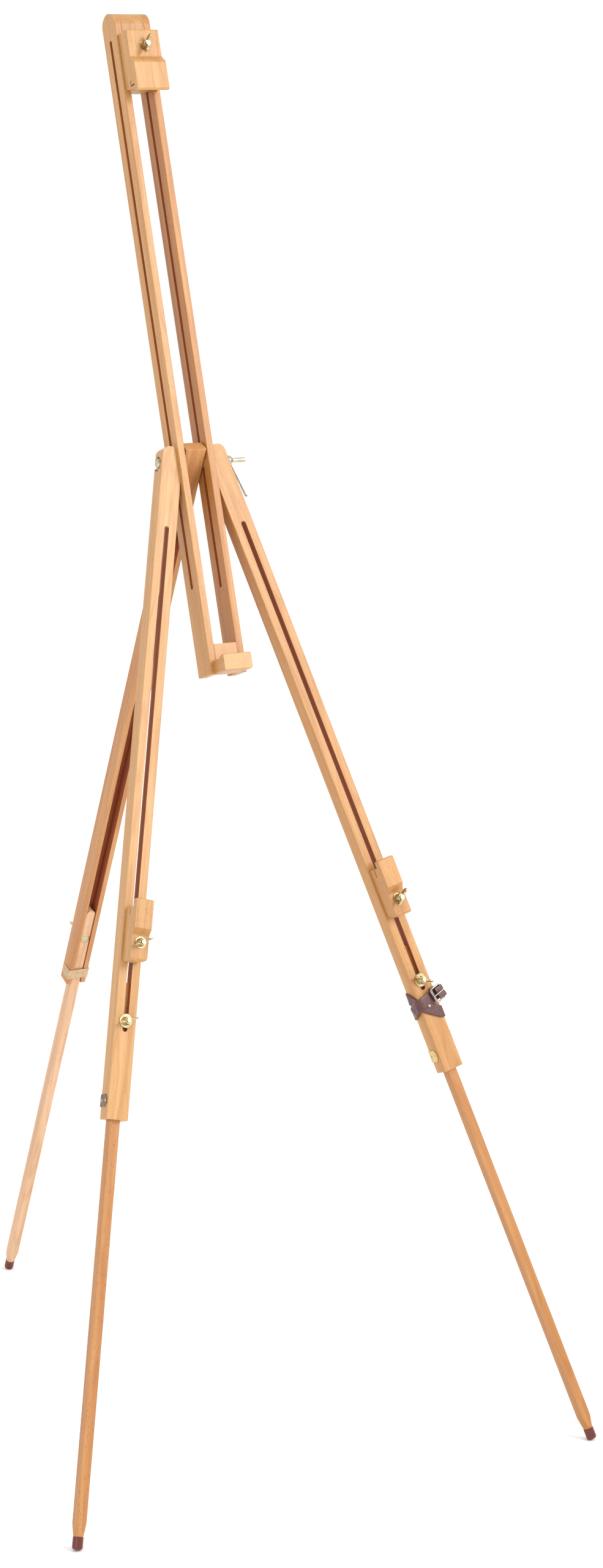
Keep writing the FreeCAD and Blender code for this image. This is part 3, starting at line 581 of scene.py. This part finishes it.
def bar_loop(side):
    """Half of the strap's end where it folds round the buckle's outer bar, beside the prong's slot.

    It is a U of radius 2.3 whose arms run back 7 mm underneath and 10 mm on top.
    """
    radius, under, over = 2.3, 7.0, 10.0
    turn = np.linspace(-0.5 * np.pi, 0.5 * np.pi, 24)
    arm = np.linspace(0, 1, 10)[:-1]
    bend = np.stack([0 * turn, -radius * np.sin(turn), buckle_height + radius * np.cos(turn)], 1)
    back = np.stack([0 * arm, radius + 0 * arm, buckle_height - under * (1 - arm)], 1)
    fore = np.stack([0 * arm, -radius + 0 * arm, buckle_height - over * (1 - arm)], 1)[::-1]
    path = np.concatenate([back, bend, fore])
    away = np.stack([0 * path[:, 0], path[:, 1], np.maximum(path[:, 2] - buckle_height, 0)], 1)
    path[:, 0] = side * 4.5
    return ribbon(path, away / np.linalg.norm(away, axis=1)[:, None], 3.5, 0.95)


def in_leg(shell_pair, source):
    """A shell given in another place's directions, turned into the right leg's."""
    corners, faces = shell_pair
    return (to_world(source, corners) - right_leg[0]) @ right_leg[1].T / MM, faces


def punched_hole(row, next_row):
    """A punched hole at a point of the strap's line: a near-black disc in a pressed rim, painted shade for the
    hole's depth.
    """
    out = unit(row[3:])
    along = unit(next_row[:3] - row[:3])
    rim = lathe([(0.05, 0.02), (0.8, 0.02), (0.95, 0.12), (1.1, 0.0), (0.95, -0.3), (0.05, -0.3)], 20)
    corners, faces = shell(rim)
    return row[:3] + out * strap_half_thick + corners @ np.array([along, np.cross(out, along), out]), faces


def strap():
    """The strap itself, with its fold round the buckle's bar, and its punched holes."""
    distance, line = strap_line()
    band = ribbon(line[:, :3], line[:, 3:], strap_half_width, strap_half_thick, tip=6.0)
    folds = [in_leg(bar_loop(side), buckle_place) for side in (-1, 1)]
    piece("strap_leather", [band] + folds, right_leg, "right_leg", leather, ["strap"])
    hole_distances = (27.0, 40.5)
    rows = [int(np.argmin(np.abs(distance - d))) for d in hole_distances]
    holes = [punched_hole(line[k], line[k + 1]) for k in rows]
    piece("strap_holes", holes, right_leg, "right_leg", hole_shadow)


def wire_loop(half_x, half_z, corner, radius):
    """A wire of round section bent into a closed rounded rectangle, arched 0.8 mm forward in the middle."""
    arch = 0.8
    outline = [(-half_x, -half_z), (half_x, -half_z), (half_x, half_z), (-half_x, half_z)]
    line = rounded_profile(outline, corner, 9)
    path = np.stack([line[:, 0], -arch * (1 - (line[:, 1] / half_z) ** 2), line[:, 1]], 1)
    along = np.roll(path, -1, 0) - np.roll(path, 1, 0)
    along /= np.linalg.norm(along, axis=1)[:, None]
    fore = np.tile([0.0, 1.0, 0.0], (len(path), 1))
    side = np.cross(along, fore)
    side /= np.linalg.norm(side, axis=1)[:, None]
    return shell(sweep(path, side, np.cross(side, along), superellipse(radius, radius, 2, 16)), cyclic=True)


def ring_tube(bore, radius, half_length, edge):
    """A tube round x, with its edges rounded."""
    outline = [(bore, -half_length), (radius, -half_length), (radius, half_length), (bore, half_length)]
    return shell(lathe(rounded_profile(outline, edge), 28)[..., [2, 0, 1]], cyclic=True)


def prong():
    """The prong: an eye round the outer bar and a tapering pin, bowed forward, that lies over the roller."""
    eye = ring_tube(1.35, 2.15, 1.1, 0.4)
    t = np.linspace(0, 1, 30)
    path = np.stack([0 * t, -1.9 - 1.3 * t - 0.5 * np.sin(np.pi * t), -0.6 - (2 * buckle_height + 1.9) * t], 1)
    shrink = np.sqrt(1 - np.clip((t - 0.96) / 0.04, 0, 0.99) ** 2) * (1 - 0.25 * t)
    along = np.gradient(path, axis=0)
    along /= np.linalg.norm(along, axis=1)[:, None]
    side = np.tile([1.0, 0.0, 0.0], (len(path), 1))
    section = superellipse(0.9, 0.9, 2, 16)[None] * shrink[:, None, None]
    pin = shell(sweep(path, side, np.cross(along, side), section))
    place = (prong_at, buckle_place[1])
    piece("prong_wire", [eye, pin], place, "prong", nickel, ["buckle_prong"])


def buckle():
    """The buckle's wire frame and its roller, a rolled tube on the inner bar."""
    piece("buckle_wire", [wire_loop(10.0, buckle_height, 3.2, 1.2)], buckle_place, "right_leg", nickel,
          ["buckle_frame"])
    piece("roller_tube", [ring_tube(1.3, 2.05, 7.9, 0.5)], (roller_at, buckle_place[1]), "roller", nickel,
          ["buckle_roller"])


strap()
buckle()
prong()


# ---- stage, light and camera ----
def floor():
    """A plain pale floor, 60 m across."""
    reach = 30.0
    corners = [(-reach, -reach, 0), (reach, -reach, 0), (reach, reach, 0), (-reach, reach, 0)]
    mesh = bpy.data.meshes.new("floor")
    mesh.from_pydata(corners, [], [(0, 1, 2, 3)])
    made = bpy.data.objects.new("floor", mesh)
    bpy.context.scene.collection.objects.link(made)
    paint, tree, shader = material("matt_white_floor", {"Roughness": 0.9})
    spot = node(tree, "TexCoord").outputs["Object"]
    cloud = node(tree, "TexNoise", {"Vector": spot, "Scale": 0.6, "Detail": 2.0}).outputs["Fac"]
    colour = blend_colour(tree, cloud, linear("#F8F8F7"), linear("#FBFBFA"))
    tree.links.new(colour, shader.inputs["Base Color"])
    mesh.materials.append(paint)


def soft_light(name, spot, target, size, watts):
    """A square area light that points at a target."""
    lamp = bpy.data.lights.new(name, "AREA")
    lamp.size = size
    lamp.energy = watts
    made = bpy.data.objects.new(name, lamp)
    made.location = spot
    made.rotation_euler = (Vector(target) - Vector(spot)).to_track_quat("-Z", "Y").to_euler()
    bpy.context.scene.collection.objects.link(made)


def studio():
    """White surroundings, one broad key light from the front right and a weak fill from the left."""
    middle = Vector((0, 0, 0.95))
    world = bpy.data.worlds.new("white_room")
    world.use_nodes = True
    white = 1.06
    world.node_tree.nodes["Background"].inputs["Color"].default_value = (white, white, white, 1)
    bpy.context.scene.world = world
    soft_light("key", middle + Vector((2.2, -3.6, 2.4)), middle, 2.2, 130)
    soft_light("fill", middle + Vector((-3.0, -2.0, 0.8)), middle, 2.0, 20)


def camera():
    """The camera stands to the front left, a little above the mast's top, and looks slightly down."""
    azimuth, elevation, distance = math.radians(-29.27), math.radians(10.98), 4.974
    target = Vector((0.168, pivot[1], 0.851))
    away = Vector((math.sin(azimuth) * math.cos(elevation), -math.cos(azimuth) * math.cos(elevation),
                   math.sin(elevation)))
    lens = bpy.data.cameras.new("camera")
    lens.lens = 83.2
    lens.sensor_width = 36.0
    made = bpy.data.objects.new("camera", lens)
    made.location = target + away * distance
    made.rotation_euler = (-away).to_track_quat("-Z", "Y").to_euler()
    bpy.context.scene.collection.objects.link(made)
    bpy.context.scene.camera = made


floor()
studio()
camera()
bpy.context.scene.view_settings.view_transform = "Standard"
